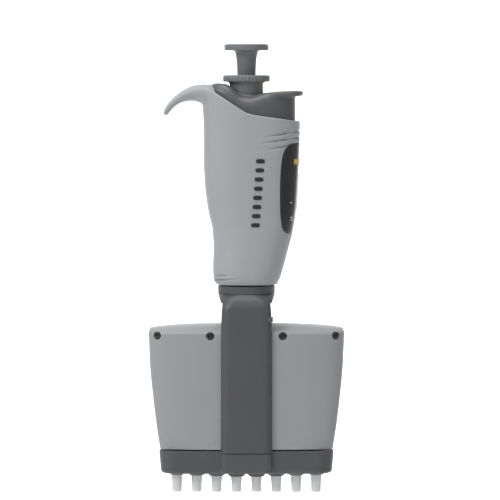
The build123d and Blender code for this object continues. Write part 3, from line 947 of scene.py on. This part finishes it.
def comb_rows():
    """Rings of the comb bar from its rounded lower edge to its top."""
    rows = []
    levels = [(8.75, 1.5), (8.85, 0.9), (9.15, 0.4), (9.7, 0.08), (10.4, 0.0)]
    levels += [(z, 0.0) for z in (12.0, 14.0, 16.0, 18.0, 18.9)] + [(19.25, 0.2)]
    for z, inset in levels:
        share = (z - 8.75) / 10.5
        width = 38.7 + 0.9 * share - inset
        depth = 7.9 + 0.6 * share - inset
        row = []
        for x, y in rounded_rect(width, depth, min(7.2, depth - 0.1), steps=12):
            row.append((x, y, z))
        rows.append(row)
    return rows


def build_comb():
    """Comb bar with its centre block, and a rounded collar round each nozzle."""
    bar = grid("bar", comb_rows(), cap_first=True, cap_last=True)
    block_rows = []
    for z, depth, inset in ((9.0, 9.6, 0.6), (9.4, 9.9, 0.1), (12.0, 10.3, 0.0), (15.0, 10.8, 0.0),
                            (18.0, 11.3, 0.0), (18.3, 11.25, 0.2)):
        block_rows.append([(x, y, z) for x, y in rounded_rect(11.6 - inset, depth - inset, 2.6)])
    block = grid("block", block_rows, cap_first=True, cap_last=True)
    collars = []
    for x in NOZZLE_X:
        bottom = 6.8 + 1.1 * abs(x) / 31.5
        outline = [(0.01, bottom), (2.9, bottom)]
        outline += arc((2.75, bottom + 1.2), 1.2, -80, 0, 6)
        outline += [(4.0, 11.0), (0.01, 11.0)]
        collars.append(turned("collar", outline, x=x, segments=48))
    comb = joined("comb", [bar, block] + collars)
    remesh_smooth(comb, 0.3, 3)
    holes = []
    for x in NOZZLE_X:
        holes.append(turned("hole", [(0.01, 2.0), (3.0, 2.0), (3.0, 25.0), (0.01, 25.0)], x=x))
    cut(comb, holes)
    finish_piece(comb, DARK_GREY, "comb", "dark_grey_plastic", "comb_bar")


# --- everything that stays as the CAD made it ---
CAD_FINISH = {
    BLACK: ["inner_frame", "swivel_socket", "nozzle_plate", "module_hub", "swivel_clip",
            "seal_retainer"],
    WHITE: ["units_drum", "tens_drum", "hundreds_drum", "counter_gear", "drive_gear", "cylinders"],
    AMBER: ["index_mark"],
    STEEL: ["plunger_rod", "drive_rod", "ejector_rod", "guide_posts", "pistons", "counter_shaft",
            "housing_screws", "comb_pins", "return_spring", "blowout_spring", "ejector_spring",
            "blowout_plate", "piston_beam"],
    BRASS: ["drive_spindle", "thrust_collar", "volume_nut", "stop_cup", "rod_socket",
            "bearing_bush"],
    RUBBER: ["piston_seals"],
    WINDOW: ["counter_window"],
    DARK_GREY: ["ejector_ring", "release_latch"],
}


def dress_cad_nodes():
    """Gives the CAD nodes that stay in view, or inside, their materials."""
    for material, names in CAD_FINISH.items():
        for name in names:
            obj = nodes[name]
            if not obj.material_slots:
                obj.data.materials.append(material)
            for slot in obj.material_slots:
                slot.material = material


# --- stage, lights and camera ---
def area_light(name, place, target, size, power):
    light = bpy.data.lights.new(name, "AREA")
    light.shape = "RECTANGLE"
    light.size, light.size_y = size
    light.energy = power
    obj = bpy.data.objects.new(name, light)
    obj.location = place
    obj.rotation_euler = (Vector(target) - Vector(place)).to_track_quat("-Z", "Y").to_euler()
    bpy.context.scene.collection.objects.link(obj)


def build_stage():
    """Paper sweep: a floor that curves up into the backdrop."""
    reach, cove, height = 3.2, 0.8, 3.0
    floor_z = -0.42
    profile = [(-reach, floor_z), (reach - cove, floor_z)]
    for i in range(1, 17):
        a = math.pi / 2 * i / 16
        profile.append((reach - cove + cove * math.sin(a), floor_z + cove * (1 - math.cos(a))))
    profile.append((reach, floor_z + height))
    rows = [[(x / MM, y / MM, z / MM) for x in (-4.0, 4.0)] for y, z in profile]
    floor = grid("studio_floor", rows, closed=False)
    paper = bpy.data.materials.new("studio_paper")
    paper.use_nodes = True
    tree = paper.node_tree
    shader = tree.nodes["Principled BSDF"]
    mix = tree.nodes.new("ShaderNodeMix")
    mix.data_type = "RGBA"
    mix.inputs["A"].default_value = (0.93, 0.93, 0.93, 1)
    mix.inputs["B"].default_value = (0.95, 0.95, 0.95, 1)
    tree.links.new(noise(tree, 40.0), mix.inputs["Factor"])
    tree.links.new(mix.outputs["Result"], shader.inputs["Base Color"])
    shader.inputs["Roughness"].default_value = 0.95
    floor.data.materials.append(paper)


def build_lights():
    world = bpy.data.worlds.new("studio")
    bpy.context.scene.world = world
    world.use_nodes = True
    background = world.node_tree.nodes["Background"]
    background.inputs["Color"].default_value = (0.97, 0.985, 1.0, 1)
    background.inputs["Strength"].default_value = 0.36
    area_light("key", (-1.5, -1.3, 1.3), (0, 0, 0.1), (0.8, 0.8), 20)
    area_light("top", (-0.1, -0.2, 1.3), (0, 0, 0.1), (0.9, 0.7), 9)
    area_light("backdrop", (0, 2.2, 1.7), (0, 3.2, 0.3), (3.0, 1.0), 90)


def build_camera():
    camera = bpy.data.cameras.new("camera")
    camera.sensor_width = 36.0
    distance, width = 1.6, 0.2256
    camera.lens = 36.0 * distance / width
    camera.clip_end = 20.0
    obj = bpy.data.objects.new("camera", camera)
    target = Vector((0.0016, 0.0, 0.1097))
    obj.location = (0.0016, -distance, 0.192)
    obj.rotation_euler = (target - obj.location).to_track_quat("-Z", "Y").to_euler()
    bpy.context.scene.collection.objects.link(obj)
    bpy.context.scene.camera = obj
    bpy.context.scene.view_settings.view_transform = "Standard"


build_housing()
build_display()
build_channel_mark()
build_figures()
build_button()
build_ring()
build_saddle()
build_plate()
build_module()
build_nozzles()
build_column()
build_comb()
dress_cad_nodes()
build_stage()
build_lights()
build_camera()
